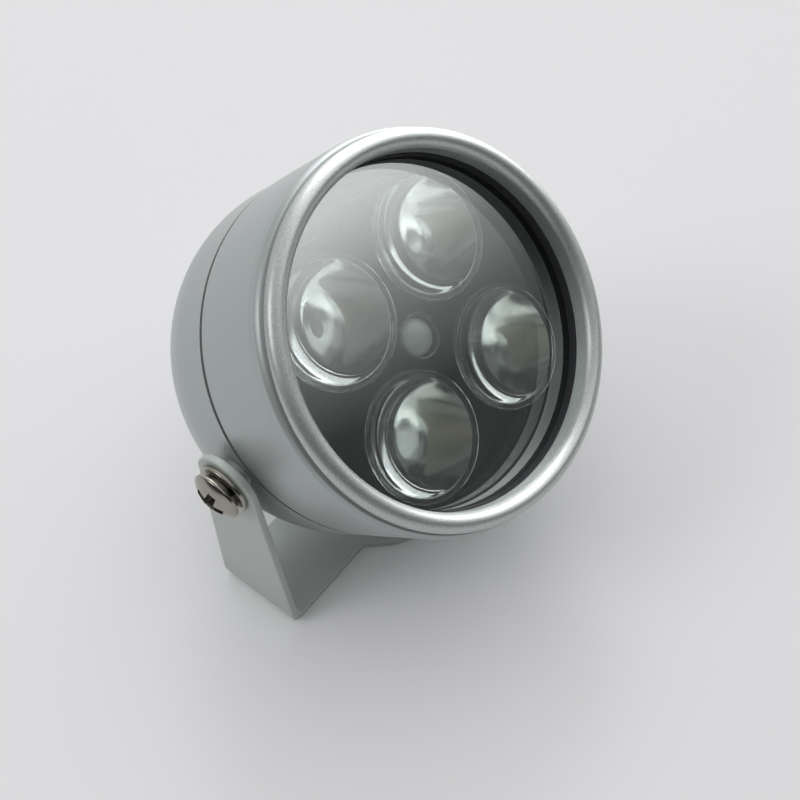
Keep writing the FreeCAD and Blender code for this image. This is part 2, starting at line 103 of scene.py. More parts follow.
class HeadSizes(bpy.types.PropertyGroup):
    """Sizes of the turned head and what it holds."""

    tilt: FloatProperty(
        name="Tilt",
        description="How far the head looks up at rest",
        default=math.radians(45),
        subtype="ANGLE",
    )
    pivot_height: length("Pivot height", 35.2, "Pivot axis above the pad's underside")
    pivot_station: length("Pivot station", 21.4, "Station of the pivot axis")
    rim_r: length("Rim radius", 27.2, "Outside radius of the rolled rim")
    roll_r: length("Roll radius", 1.4, "Section radius of the rolled rim")
    reach: length("Rim reach", 0.66, "How far the middle of the roll lies in front of station 0")
    body_r: length("Body radius", 27.99, "Outside radius of both housings")
    groove_r: length("Groove radius", 26.95, "Floor of the groove behind the rim")
    shoulder: length("Shoulder", 0.5, "How far the body's front edge is drawn in")
    shoulder_back: length("Shoulder back", 2.4, "Station where the body has its full radius")
    front_bore_r: length("Front bore", 26.4, "Bore of the front housing")
    seat: length("Seat", 1.4, "Station of the seat that the gasket lies on")
    glass: length("Glass", 2.75, "Station of the window's front face")
    glass_thick: length("Glass thickness", 1.6, "Thickness of the window")
    spigot: length("Spigot", 11.0, "Station of the rear housing's front edge")
    spigot_wall: length("Spigot wall", 1.6, "Wall of that edge")
    board: length("Board", 16.0, "Station of the emitter board's front face")
    board_thick: length("Board thickness", 1.6, "Thickness of the emitter board")
    front_end: length("Front end", 17.2, "Station where the front housing ends")
    ledge_r: length("Ledge radius", 22.6, "Bore of the ledge behind the emitter board")
    ledge_back: length("Ledge back", 19.6, "Station of that ledge's back")
    seal_gap: length("Seal gap", 0.85, "Gap that the black seal fills")
    seal_sink: length("Seal sink", 0.5, "How far the seal lies below the housings")
    dome: length("Dome", 25.5, "Station where the tail starts to close")
    dome_length: length("Dome length", 24.0, "Half axis of the tail's ellipse")
    tail_flat_r: length("Tail flat", 11.0, "Radius of the flat at the tail's end")
    rear_wall: length("Rear wall", 2.4, "Wall of the rear housing")
    boss_r: length("Boss radius", 2.35, "Radius of the pivot bosses")
    boss_depth: length("Boss depth", 6.0, "Length of a pivot boss")
    segments: IntProperty(
        name="Segments", description="Facets round a large turned piece", default=192, min=12
    )


class OpticSizes(bpy.types.PropertyGroup):
    """Sizes of the four emitter modules and the light sensor."""

    circle_r: length("Circle", 14.2, "Distance of each module from the head's axis")
    holder_r: length("Holder radius", 9.4, "Outside radius of a lens holder")
    holder_wall: length("Holder wall", 0.9, "Wall of a lens holder")
    holder_top: length("Holder top", 5.3, "Station of a lens holder's front edge")
    flange: length("Flange", 4.75, "Station of a lens flange's front")
    flange_thick: length("Flange thickness", 0.55, "Thickness of a lens flange")
    lens_r: length("Lens radius", 9.3, "Radius of a lens's flange")
    crown_r: length("Crown radius", 8.35, "Radius of a lens's domed front")
    crown: length("Crown height", 0.3, "Rise of a lens's domed front")
    belly_r: length("Belly radius", 8.32, "Radius of a lens's back")
    belly: length("Belly depth", 3.8, "Depth of a lens's back")
    cup_foot_r: length("Cup foot", 3.6, "Radius of a reflector where it meets the board")
    led_r: length("Emitter radius", 3.2, "Radius of an emitter's base")
    led_thick: length("Emitter base", 0.9, "Thickness of an emitter's base")
    led_dome_r: length("Emitter dome", 2.2, "Radius of an emitter's clear dome")
    die: length("Die", 2.4, "Side of an emitter's square die")
    die_thick: length("Die thickness", 0.3, "Thickness of an emitter's die")
    sensor_top: length("Sensor top", 6.4, "Station of the light sensor's tip")
    sensor_r: length("Sensor radius", 2.85, "Radius of the light sensor")
    sleeve_r: length("Sleeve radius", 3.4, "Radius of the clear sleeve round the sensor")
    segments: IntProperty(
        name="Segments", description="Facets round an optical piece", default=96, min=12
    )


class MountSizes(bpy.types.PropertyGroup):
    """Sizes of the bracket and the pivot fasteners."""

    sheet: length("Sheet", 1.2, "Thickness of the bracket")
    outside: length("Outside", 30.7, "Half of the bracket's outside width")
    ear_r: length("Ear radius", 5.3, "Radius of the round ears")
    foot_half: length("Foot half width", 7.8, "Half width of the strip")
    fold_r: length("Fold radius", 2.2, "Outside radius of the folds")
    pad_r: length("Pad radius", 15.0, "Radius of the round pad")
    neck_r: length("Neck radius", 1.6, "Radius where the strip runs into the pad")
    pad_hole_r: length("Pad hole", 2.1, "Radius of the three screw holes")
    pad_hole_circle_r: length("Hole circle", 10.0, "Distance of those holes from the middle")
    centre_hole_r: length("Centre hole", 3.2, "Radius of the hole in the middle of the pad")
    edge_r: length("Edge rounding", 0.28, "Rounding that the paint gives the sheet's edges")
    screw_r: length("Screw radius", 2.0, "Radius of the pivot screws")
    screw_head_r: length("Head radius", 3.9, "Radius of a pivot screw's head")
    screw_head: length("Head height", 1.95, "Height of a pivot screw's head")
    screw_rim: length("Head rim", 0.5, "Height of the straight edge of that head")
    screw_depth: length("Screw depth", 7.0, "How far a pivot screw reaches inward")
    flat_washer_r: length("Flat washer radius", 4.2, "Radius of a flat washer")
    flat_washer: length("Flat washer", 0.8, "Thickness of a flat washer")
    spring_washer_r: length("Split washer radius", 3.0, "Radius of a split washer")
    spring_washer: length("Split washer", 0.75, "Thickness of a split washer")
    gland_r: length("Gland radius", 5.0, "Radius of the cable gland")
    gland_length: length("Gland length", 6.0, "How far the gland stands out of the tail")
    gland_bore_r: length("Gland bore", 2.2, "Bore of the gland")
    gland_wall: length("Gland wall", 1.2, "Wall at the gland's thin end")
    thread_r: length("Gland thread", 3.8, "Radius of the gland's threaded part")
    thread_length: length("Thread length", 6.0, "Length of that part")


class Finishes(bpy.types.PropertyGroup):
    """Colours of the finishes."""

    paint: colour("Paint", (0.38, 0.415, 0.41), "Silver paint on the housings")
    grit: colour("Rim", (0.52, 0.55, 0.54), "Sand-textured silver on the rolled rim")
    bracket: colour("Bracket", (0.48, 0.52, 0.495), "Silver-grey paint on the bracket")
    nickel: colour("Nickel", (0.38, 0.362, 0.322), "Plating of screws and washers")
    rubber: colour("Rubber", (0.012, 0.013, 0.015), "Seals")
    black: colour("Black", (0.018, 0.02, 0.023), "Black mouldings and coated metal")
    board: colour("Board", (0.06, 0.075, 0.082), "Grey emitter board")
    silvered: colour("Silvering", (0.95, 0.95, 0.93), "Silvered cups")
    emitter: colour("Emitter", (0.8, 0.79, 0.72), "Emitter bases")
    die: colour("Die", (0.92, 0.8, 0.5), "Emitter dies")
    resin: colour("Resin", (0.92, 0.97, 0.95), "Milky resin of the light sensor")
    paper: colour("Paper", (0.80, 0.80, 0.815), "Pale floor")


def head_sizes():
    return bpy.context.scene.illuminator_head


def optic_sizes():
    return bpy.context.scene.illuminator_optics


def mount_sizes():
    return bpy.context.scene.illuminator_mount


def finishes():
    return bpy.context.scene.illuminator_finishes


# Shader helpers


class Wire:
    """A shader socket that takes part in sums."""

    def __init__(self, finish, socket):
        self.finish = finish
        self.socket = socket

    def _sum(self, operation, *terms):
        values = dict(enumerate(terms))
        return self.finish.node("Math", {"operation": operation}, values)

    def __add__(self, other):
        return self._sum("ADD", self, other)

    __radd__ = __add__

    def __sub__(self, other):
        return self._sum("SUBTRACT", self, other)

    def __mul__(self, other):
        return self._sum("MULTIPLY", self, other)

    __rmul__ = __mul__

    def __pow__(self, other):
        return self._sum("POWER", self, other)


class Finish:
    """A node tree, and the one way that nodes are put into it."""

    def __init__(self, name, owner=None):
        self.owner = owner or bpy.data.materials.new(OWN + name)
        self.owner.use_nodes = True
        self.tree = self.owner.node_tree
        self.tree.nodes.clear()

    def node(self, kind, settings=None, values=None, output=0):
        node = self.tree.nodes.new("ShaderNode" + kind)
        for key, value in (settings or {}).items():
            if key == "stops":
                self._stops(node.color_ramp, value)
            else:
                setattr(node, key, value)
        for key, value in (values or {}).items():
            self._feed(node.inputs[key], value)
        return Wire(self, node.outputs[output]) if node.outputs else node

    def _stops(self, ramp, stops):
        while len(ramp.elements) < len(stops):
            ramp.elements.new(1.0)
        for element, (place, shade) in zip(ramp.elements, stops):
            element.position = place
            element.color = (*shade, 1.0) if isinstance(shade, tuple) else (shade,) * 3 + (1.0,)

    def _feed(self, socket, value):
        if isinstance(value, Wire):
            self.tree.links.new(value.socket, socket)
        elif socket.type == "RGBA" and len(value) == 3:
            socket.default_value = (*value, 1.0)
        else:
            socket.default_value = value

    def place(self):
        """Where a point lies on its own piece."""
        return self.node("TexCoord", output="Object")

    def noise(self, size, detail=3.0, roughness=0.5, output="Fac"):
        """Noise whose features are about the given size across."""
        values = {"Vector": self.place(), "Scale": 1.0 / size, "Detail": detail, "Roughness": roughness}
        return self.node("TexNoise", values=values, output=output)

    def tint(self, base, other, factor):
        """A colour between two, by a factor that varies over the surface."""
        settings = {"data_type": "RGBA"}
        return self.node("Mix", settings, {0: factor, 6: (*base, 1.0), 7: (*other, 1.0)}, 2)

    def ramp(self, stops, factor):
        """What a factor is worth between the given stops."""
        return self.node("ValToRGB", {"stops": stops}, {"Fac": factor}, "Color")

    def toward(self, way, target):
        """How far one direction points along another."""
        return self.node("VectorMath", {"operation": "DOT_PRODUCT"}, {0: way, 1: target}, "Value")

    def bump(self, height, strength, depth):
        values = {"Height": height, "Strength": strength, "Distance": depth}
        return self.node("Bump", values=values)

    def surface(self, values):
        shader = self.node("BsdfPrincipled", values=values)
        return self.close(shader)

    def close(self, shader):
        kind = "OutputWorld" if isinstance(self.owner, bpy.types.World) else "OutputMaterial"
        self.node(kind, values={"Surface": shader})
        return self.owner


def shade(base, factor):
    return tuple(channel * factor for channel in base)


# Finishes of the illuminator


def silver_paint():
    """Smooth sprayed silver with fine flake and a little orange peel."""
    finish = Finish("silver_paint")
    base = finishes().paint
    flake = finish.noise(0.00012, 1.0)
    cloud = finish.noise(0.018, 3.0)
    peel = finish.noise(0.0009, 2.0)
    mix = flake * 0.7 + cloud * 0.3
    return finish.surface({
        "Base Color": finish.tint(shade(base, 0.86), shade(base, 1.12), mix),
        "Metallic": 0.55,
        "Roughness": 0.36 + cloud * 0.1,
        "Normal": finish.bump(peel + flake * 0.2, 0.12, 0.00002),
        "Coat Weight": 0.25,
        "Coat Roughness": 0.18,
    })


def gritty_silver():
    """Sand-textured silver: sharp sparkle from grains of a fifth of a millimetre."""
    finish = Finish("gritty_silver")
    base = finishes().grit
    grain = finish.noise(0.0002, 2.0, 0.65)
    coarse = finish.noise(0.0011, 2.0)
    speck = finish.ramp([(0.36, 0.0), (0.64, 1.0)], grain)
    return finish.surface({
        "Base Color": finish.tint(shade(base, 0.86), shade(base, 1.12), speck),
        "Metallic": 0.75,
        "Roughness": 0.32 + grain * 0.15,
        "Normal": finish.bump(grain * 0.8 + coarse * 0.3, 0.6, 0.00005),
    })


def bracket_paint():
    """Thin silver-grey paint on the pressed sheet, duller than the head's."""
    finish = Finish("bracket_paint")
    base = finishes().bracket
    flake = finish.noise(0.00014, 1.0)
    cloud = finish.noise(0.012, 4.0)
    dust = finish.noise(0.0022, 4.0, 0.6)
    return finish.surface({
        "Base Color": finish.tint(shade(base, 0.88), shade(base, 1.1), flake * 0.5 + cloud * 0.5),
        "Metallic": 0.35,
        "Roughness": 0.42 + dust * 0.14,
        "Normal": finish.bump(dust + flake * 0.3, 0.1, 0.00003),
    })


def nickel(name="nickel", share=1.0):
    """Bright plated steel with faint turning marks and handling scratches; a share below one darkens it
    into painted shade.
    """
    finish = Finish(name)
    base = shade(finishes().nickel, share)
    haze = finish.noise(0.0012, 4.0, 0.6)
    fine = finish.noise(0.0002, 2.0)
    return finish.surface({
        "Base Color": finish.tint(shade(base, 0.8), base, haze),
        "Metallic": 1.0,
        "Roughness": 0.12 + haze * 0.16,
        "Normal": finish.bump(fine, 0.12, 0.00001),
    })


def dark(name, base, roughness, grain, depth, gloss=0.5):
    """Black rubber, moulded plastic or coated metal, by its grain."""
    finish = Finish(name)
    fine = finish.noise(grain, 3.0)
    cloud = finish.noise(grain * 30, 3.0)
    return finish.surface({
        "Base Color": finish.tint(shade(base, 0.8), shade(base, 1.6), cloud),
        "Roughness": roughness + fine * 0.12,
        "Normal": finish.bump(fine, 0.3, depth),
        "Specular IOR Level": gloss,
    })


def board_finish():
    """Dark solder resist over a faint copper pattern."""
    finish = Finish("board")
    base = finishes().board
    fine = finish.noise(0.0003, 2.0)
    pour = finish.noise(0.004, 1.0)
    return finish.surface({
        "Base Color": finish.tint(base, shade(base, 1.7), pour * 0.6 + fine * 0.4),
        "Roughness": 0.34 + fine * 0.12,
        "Normal": finish.bump(fine, 0.12, 0.00002),
    })


def clear_sheet(name, see_through, mirrored, roughness, blend, power, least):
    """Clear glass or film whose gloss grows towards grazing angles."""
    finish = Finish(name)
    clear = finish.node("BsdfTransparent", values={"Color": see_through})
    gloss = finish.node("BsdfPrincipled", values={
        "Base Color": mirrored,
        "Metallic": 1.0,
        "Roughness": roughness,
    })
    edge = finish.node("LayerWeight", values={"Blend": blend}, output="Facing")
    share = edge ** power * 0.7 + least
    return finish.close(finish.node("MixShader", values={0: share, 1: clear, 2: gloss}))


def window_glass():
    return clear_sheet(
        "window_glass", (0.93, 0.955, 0.95), (0.9, 0.93, 0.93), 0.015, blend=0.5, power=5, least=0.28
    )


def clear_sleeve():
    return clear_sheet(
        "clear_sleeve", (0.8, 0.84, 0.84), (0.75, 0.8, 0.8), 0.08, blend=0.35, power=1, least=0.12
    )


def lens_glass():
    finish = Finish("lens_glass")
    return finish.surface({
        "Base Color": (0.97, 0.985, 0.98),
        "Roughness": 0.03,
        "IOR": 1.49,
        "Transmission Weight": 1.0,
    })


def silvered_cup():
    """Vacuum-silvered plastic, slightly satin."""
    finish = Finish("silvered_cup")
    base = finishes().silvered
    haze = finish.noise(0.0008, 3.0)
    return finish.surface({
        "Base Color": finish.tint(shade(base, 0.85), base, haze),
        "Metallic": 1.0,
        "Roughness": 0.1 + haze * 0.1,
    })


def plain(name, base, roughness, metallic=0.0, grain=0.0004):
    """A lightly mottled finish for small inner pieces."""
    finish = Finish(name)
    fine = finish.noise(grain, 2.0)
    return finish.surface({
        "Base Color": finish.tint(shade(base, 0.85), shade(base, 1.08), fine),
        "Roughness": roughness + fine * 0.1,
        "Metallic": metallic,
    })


def sensor_resin():
    finish = Finish("sensor_resin")
    base = finishes().resin
    cloud = finish.noise(0.0015, 2.0)
    return finish.surface({
        "Base Color": finish.tint(shade(base, 0.8), shade(base, 1.2), cloud),
        "Roughness": 0.12 + cloud * 0.08,
        "Coat Weight": 0.8,
    })


FINISH_MAKERS = {
    "silver_paint": silver_paint,
    "gritty_silver": gritty_silver,
    "bracket_paint": bracket_paint,
    "nickel": nickel,
    # nickel darkened to four tenths: painted shade for the split washers under the screw heads and the
    # insides of the cross recesses
    "dark_nickel": lambda: nickel("dark_nickel", 0.4),
    "rubber": lambda: dark("rubber", finishes().rubber, 0.6, 0.0003, 0.00003),
    "black_plastic": lambda: dark("black_plastic", finishes().black, 0.3, 0.00025, 0.00002),
    "black_coat": lambda: dark("black_coat", shade(finishes().black, 0.5), 0.7, 0.0004, 0.00002, 0.12),
    "board": board_finish,
    "window_glass": window_glass,
    "lens_glass": lens_glass,
    "silvered_cup": silvered_cup,
    "sensor_resin": sensor_resin,
    "clear_sleeve": clear_sleeve,
    "emitter": lambda: plain("emitter", finishes().emitter, 0.35),
    "die": lambda: plain("die", finishes().die, 0.3, 0.1, 0.0001),
    "brass": lambda: plain("brass", (0.72, 0.55, 0.27), 0.25, 1.0),
    "green_board": lambda: plain("green_board", (0.03, 0.16, 0.07), 0.3),
    "ferrite": lambda: plain("ferrite", (0.05, 0.05, 0.055), 0.55),
    "can": lambda: plain("can", (0.7, 0.71, 0.73), 0.28, 1.0),
    "wire_cover": lambda: plain("wire_cover", (0.5, 0.03, 0.03), 0.35),
}


def finish_named(name):
    return bpy.data.materials.get(OWN + name) or FINISH_MAKERS[name]()


# Shape helpers


def head_place():
    """Takes (x, station, z) to the head's rest pose in the row frame."""
    sizes = head_sizes()
    lift = Matrix.Translation((0, 0, sizes.pivot_height))
    turn = Matrix.Rotation(-sizes.tilt, 4, "X")
    return lift @ turn @ Matrix.Translation((0, -sizes.pivot_station, 0))


def softened(points, radius, steps=4, closed=True):
    """Rounds each corner of an outline; a corner may carry its own radius third."""
    count = len(points)
    result = []
    for index, point in enumerate(points):
        here = Vector(point[:2])
        own = point[2] if len(point) > 2 else radius
        at_end = not closed and index in (0, count - 1)
        before = Vector(points[index - 1][:2])
        after = Vector(points[(index + 1) % count][:2])
        arms = (before - here, after - here)
        if at_end or own <= 0 or min(arm.length for arm in arms) < 1e-9:
            result.append(here)
            continue
        half = arms[0].angle(arms[1]) / 2
        reach = own / math.tan(half) if half > 1e-4 else 0
        reach = min(reach, 0.45 * arms[0].length, 0.45 * arms[1].length)
        if half > math.radians(89) or reach < 1e-9:
            result.append(here)
            continue
        start = here + arms[0].normalized() * reach
        end = here + arms[1].normalized() * reach
        for step in range(steps + 1):
            share = step / steps
            result.append(start.lerp(here, share).lerp(here.lerp(end, share), share))
    return result


def arc(centre, radius, start, stop, steps):
    """Points of a circular arc; angles in degrees, counted from the radius axis."""
    result = []
    for step in range(steps + 1):
        angle = math.radians(start + (stop - start) * step / steps)
        result.append((centre[0] + radius * math.cos(angle), centre[1] + radius * math.sin(angle)))
    return result


def mesh_data(name, mesh):
    """Ends a bmesh and gives its mesh."""
    data = bpy.data.meshes.new(name)
    mesh.to_mesh(data)
    mesh.free()
    return data


def add_object(name, data):
    thing = bpy.data.objects.new(name, data)
    bpy.context.scene.collection.objects.link(thing)
    return thing


def evaluated_mesh(thing):
    """The mesh that an object's modifiers or curve settings give."""
    bpy.context.view_layer.update()
    seen = thing.evaluated_get(bpy.context.evaluated_depsgraph_get())
    return bpy.data.meshes.new_from_object(seen)


def capped_faces(mesh, rings):
    """Joins each ring of vertices to the next one and caps both ends."""
    for one, other in zip(rings, rings[1:]):
        for index in range(len(one)):
            follow = (index + 1) % len(one)
            mesh.faces.new([one[index], one[follow], other[follow], other[index]])
    mesh.faces.new(rings[0])
    mesh.faces.new(rings[-1])


def turned_faces(mesh, outline, segments, closed):
    """Adds to a bmesh what an outline of (radius, station) points sweeps."""
    rings = []
    for radius, station in outline:
        if radius < 1e-7:
            rings.append([mesh.verts.new((0, station, 0))])
            continue
        ring = []
        for segment in range(segments):
            angle = 2 * math.pi * segment / segments
            ring.append(mesh.verts.new((radius * math.cos(angle), station, radius * math.sin(angle))))
        rings.append(ring)
    pairs = list(zip(rings, rings[1:]))
    if closed:
        pairs.append((rings[-1], rings[0]))
    for one, other in pairs:
        if len(one) == 1 and len(other) == 1:
            continue
        for segment in range(segments):
            follow = (segment + 1) % segments
            corners = [one[segment % len(one)], one[follow % len(one)]]
            corners += [other[follow % len(other)], other[segment % len(other)]]
            mesh.faces.new(list(dict.fromkeys(corners)))


def piece(name, mesh, place, materials, body, nodes=(), sharp=40.0, pick=None):
    """Turns a bmesh into a piece that rides on a body and stands for its nodes."""
    bmesh.ops.recalc_face_normals(mesh, faces=mesh.faces)
    if pick:
        for face in mesh.faces:
            face.material_index = pick(face.calc_center_median())
    data = mesh_data(name, mesh)
    data.transform(place)
    data.shade_smooth()
    data.set_sharp_from_angle(angle=math.radians(sharp))
    for material in materials:
        data.materials.append(finish_named(material))
    thing = add_object(name, data)
    weighted = thing.modifiers.new("Weighted normals", "WEIGHTED_NORMAL")
    weighted.keep_sharp = True
    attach(thing, body)
    if nodes:
        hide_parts(*nodes)
    return thing


def turned(name, outline, material, node=None, place=None, segments=None, closed=True):
    """A turned piece of the head; place moves it off the head's axis."""
    mesh = bmesh.new()
    turned_faces(mesh, outline, segments or head_sizes().segments, closed)
    where = head_place() @ (place or Matrix.Identity(4))
    return piece(name, mesh, where, [material], "head", [node] if node else ())


def on_axis_x(side):
    """Takes a turned outline to the pivot axis, stations counted outward from the middle."""
    sizes = head_sizes()
    turn = Matrix.Rotation(math.radians(-90 * side), 4, "Z")
    return Matrix.Translation((0, sizes.pivot_station, 0)) @ turn


def optic_place(signs):
    reach = optic_sizes().circle_r / math.sqrt(2)
    return Matrix.Translation((signs[0] * reach, 0, signs[1] * reach))


def paint_node(name, material):
    """Gives a solid that stays as packed a better material."""
    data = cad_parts[name].data
    data.materials.clear()
    data.materials.append(finish_named(material))


# Pieces


class ILLUMINATOR_OT_stage(bpy.types.Operator):
    """Builds the pale floor, the soft light and the camera"""

    bl_idname = "illuminator.stage"
    bl_label = "Stage"

    def execute(self, context):
        self.floor()
        self.sky(context.scene)
        overhead = self.lamp("overhead_softbox", (0.1, 0.12, 0.98), 1.2, 2.2)
        overhead.visible_glossy = False
        self.lamp("back_softbox", (0.50, 0.45, 0.72), 0.28, 0.85)
        self.lamp("fill_softbox", (-0.65, 0.4, 0.65), 0.4, 1.5)
        self.camera(context.scene)
        context.scene.view_settings.view_transform = "Standard"
        return {"FINISHED"}

    def floor(self):
        half = 1.2
        mesh = bmesh.new()
        corners = [(-half, -half, 0), (half, -half, 0), (half, half, 0), (-half, half, 0)]
        mesh.faces.new([mesh.verts.new(corner) for corner in corners])
        data = mesh_data("floor", mesh)
        finish = Finish("paper")
        base = finishes().paper
        cloud = finish.noise(0.09, 2.0)
        tone = finish.tint(shade(base, 0.985), base, cloud)
        data.materials.append(finish.surface({
            "Base Color": tone,
            "Roughness": 0.6,
            "Specular IOR Level": 0.1,
        }))
        add_object("floor", data)

    def sky(self, scene):
        """Bright ceiling, dim walls with a window for reflections, pale to the camera."""
        world = bpy.data.worlds.new("room")
        scene.world = world
        finish = Finish("room", world)
        way = finish.node("TexCoord", output="Generated")
        walls = finish.ramp(HEIGHT_STOPS, finish.toward(way, CEILING_WAY))
        across = finish.node("SeparateXYZ", values={0: way})
        side = finish.ramp(SIDE_STOPS, across * 0.5 + 0.5)
        window = finish.ramp(WINDOW_STOPS, finish.toward(way, WINDOW_WAY))
        gloss = finish.node("LightPath", output="Is Glossy Ray")
        through = finish.node("LightPath", output="Is Transmission Ray")
        strength = gloss * (side * 1.1 + window * 3.0 - 0.32) + through * 1.4 + 0.72
        pale = (0.80, 0.80, 0.81, 1.0)
        rays = finish.node("LightPath", output="Is Camera Ray")
        seen = finish.node("Background", values={"Color": pale, "Strength": 1.0})
        lit = finish.node("Background", values={"Color": walls, "Strength": strength})
        finish.close(finish.node("MixShader", values={0: rays, 1: lit, 2: seen}))

    def lamp(self, name, place, size, power):
        light = bpy.data.lights.new(name, "AREA")
        light.shape = "DISK"
        light.size = size
        light.energy = power
        thing = add_object(name, light)
        thing.location = place
        aim = Vector((0, 0, 0.03)) - Vector(place)
        thing.rotation_euler = aim.to_track_quat("-Z", "Y").to_euler()
        return thing

    def camera(self, scene):
        data = bpy.data.cameras.new("camera")
        data.lens = CAMERA_LENS
        data.clip_start = 0.005
        thing = add_object("camera", data)
        back = CAMERA_RIGHT.cross(CAMERA_UP)
        axes = Matrix((CAMERA_RIGHT, CAMERA_UP, back)).transposed().to_4x4()
        thing.matrix_world = Matrix.Translation(CAMERA_PLACE) @ axes
        scene.camera = thing


class ILLUMINATOR_OT_housings(bpy.types.Operator):
    """Builds the rolled-rim front housing, the domed rear housing and their seal"""

    bl_idname = "illuminator.housings"
    bl_label = "Housings"

    def execute(self, context):
        self.front()
        self.rear()
        self.seal()
        return {"FINISHED"}

    def front(self):
        sizes = head_sizes()
        centre_r = sizes.rim_r - sizes.roll_r
        back = math.degrees(math.acos((sizes.groove_r - centre_r) / sizes.roll_r))
        roll = arc((centre_r, -sizes.reach), sizes.roll_r, -180, back, 40)
        bore_r = centre_r - sizes.roll_r
        groove = roll[-1][1]
        rest = [
            (sizes.body_r - sizes.shoulder, groove, 0.3 * MM),
            (sizes.body_r - sizes.shoulder / 5, sizes.shoulder_back / 3, 0.8 * MM),
            (sizes.body_r, sizes.shoulder_back, 1.0 * MM),
            (sizes.body_r, sizes.front_end, 0.06 * MM),
            (sizes.front_bore_r, sizes.front_end),
            (sizes.front_bore_r, sizes.seat),
            (bore_r, sizes.seat, 0.2 * MM),
        ]
        outline = softened([(*point, 0) for point in roll] + rest, 0.1 * MM)
        mesh = bmesh.new()
        turned_faces(mesh, outline, sizes.segments, True)
        inner = sizes.seat + 0.1 * MM

        def pick(centre):
            radius = math.hypot(centre.x, centre.z)
            on_rim = centre.y < groove - 0.01 * MM
            return 1 if on_rim or (centre.y < inner and radius < bore_r + 0.2 * MM) else 0

        materials = ["silver_paint", "gritty_silver"]
        piece(
            "front_housing_turned", mesh, head_place(), materials, "head",
            ["front_housing"], 50, pick,
        )

    def rear(self):
        sizes = head_sizes()
        start = sizes.front_end + sizes.seal_gap
        wall = sizes.rear_wall
        spigot_r = sizes.front_bore_r - FIT
        spigot_bore = spigot_r - sizes.spigot_wall
        board_back = sizes.board + sizes.board_thick
        slope = 3 * MM
        gland_r = mount_sizes().thread_r + FIT
        outline = [
            (spigot_r, start),
            (sizes.body_r, start, 0.06 * MM),
            *self.tail(sizes.body_r, sizes.dome_length),
            (gland_r, self.tail_end(sizes.body_r, sizes.dome_length), 0.1 * MM),
            (gland_r, self.tail_end(sizes.body_r - wall, sizes.dome_length - wall)),
            *reversed(self.tail(sizes.body_r - wall, sizes.dome_length - wall)),
            (sizes.body_r - wall, sizes.ledge_back + slope),
            (sizes.ledge_r, sizes.ledge_back),
            (sizes.ledge_r, board_back),
            (spigot_bore, board_back),
            (spigot_bore, sizes.spigot),
            (spigot_r, sizes.spigot),
        ]
        mesh = bmesh.new()
        turned_faces(mesh, softened(outline, 0.1 * MM), sizes.segments, True)
        self.bosses(mesh)

        def pick(centre):
            radius = math.hypot(centre.x, centre.z)
            return 1 if radius < spigot_bore + 0.1 * MM and centre.y < board_back else 0

        materials = ["silver_paint", "black_coat"]
        piece(
            "rear_housing_turned", mesh, head_place(), materials, "head",
            ["rear_housing"], pick=pick,
        )

    def tail(self, radius, depth):
        """The elliptical end of the rear housing, down to its flat."""
        sizes = head_sizes()
        stop = math.acos(sizes.tail_flat_r / radius)
        steps = 28
        points = []
        for step in range(steps + 1):
            angle = stop * step / steps
            corner = 0.8 * MM if step == steps else 0
            points.append((radius * math.cos(angle), sizes.dome + depth * math.sin(angle), corner))
        return points

    def tail_end(self, radius, depth):
        return self.tail(radius, depth)[-1][1]

    def bosses(self, mesh):
        """Adds the two bosses that stand out to the bracket's ears."""
        sizes = head_sizes()
        mount = mount_sizes()
        tip = mount.outside - mount.sheet
        outline = softened([
            (mount.screw_r, tip - sizes.boss_depth),
            (sizes.boss_r, tip - sizes.boss_depth),
            (sizes.boss_r, tip, 0.25 * MM),
            (mount.screw_r, tip),
        ], 0.05 * MM)
        for side in (-1, 1):
            boss = bmesh.new()
            turned_faces(boss, outline, 48, True)
            boss.transform(on_axis_x(side))
            data = mesh_data("boss", boss)
            mesh.from_mesh(data)
            bpy.data.meshes.remove(data)

    def seal(self):
        sizes = head_sizes()
        middle = sizes.front_end + sizes.seal_gap / 2
        outer = sizes.body_r - sizes.seal_sink
        half = sizes.seal_gap / 2
        outline = softened([
            (sizes.front_bore_r, middle - half),
            (outer, middle - half, half * 0.8),
            (outer, middle + half, half * 0.8),
            (sizes.front_bore_r, middle + half),
        ], 0.02 * MM)
        turned("housing_seal_ring", outline, "rubber", "housing_seal")


class ILLUMINATOR_OT_window(bpy.types.Operator):
    """Builds the gasket, the flat window and the ring that holds it"""

    bl_idname = "illuminator.window"
    bl_label = "Window"

    def execute(self, context):
        sizes = head_sizes()
        bore_r = sizes.rim_r - 2 * sizes.roll_r
        outer = sizes.front_bore_r - FIT
        gasket_r = bore_r - 0.15 * MM
        gasket = softened([
            (outer, sizes.seat),
            (gasket_r, sizes.seat, 0.12 * MM),
            (gasket_r, sizes.glass, 0.12 * MM),
            (outer, sizes.glass),
        ], 0.03 * MM, 6)
        turned("glass_gasket_ring", gasket, "rubber", "glass_gasket")
        back = sizes.glass + sizes.glass_thick
        pane = softened([
            (0, sizes.glass),
            (outer, sizes.glass, 0.3 * MM),
            (outer, back, 0.3 * MM),
            (0, back),
        ], 0.05 * MM, 3, False)
        mesh = bmesh.new()
        turned_faces(mesh, pane, sizes.segments, False)

        def pick(centre):
            return 1 if math.hypot(centre.x, centre.z) > outer - 0.4 * MM else 0

        materials = ["window_glass", "black_coat"]
        piece(
            "cover_glass_pane", mesh, head_place(), materials, "head",
            ["cover_glass"], pick=pick,
        )
        end = sizes.spigot - 0.2 * MM
        lip = 1.0 * MM
        ring = softened([
            (bore_r, back, 0.25 * MM),
            (outer, back),
            (outer, end),
            (bore_r - lip, end, 0.2 * MM),
            (bore_r - lip, end - lip, 0.3 * MM),
            (bore_r, end - 2 * lip, 0.5 * MM),
        ], 0.08 * MM)
        turned("glass_retainer_ring", ring, "black_coat", "glass_retainer")
        return {"FINISHED"}


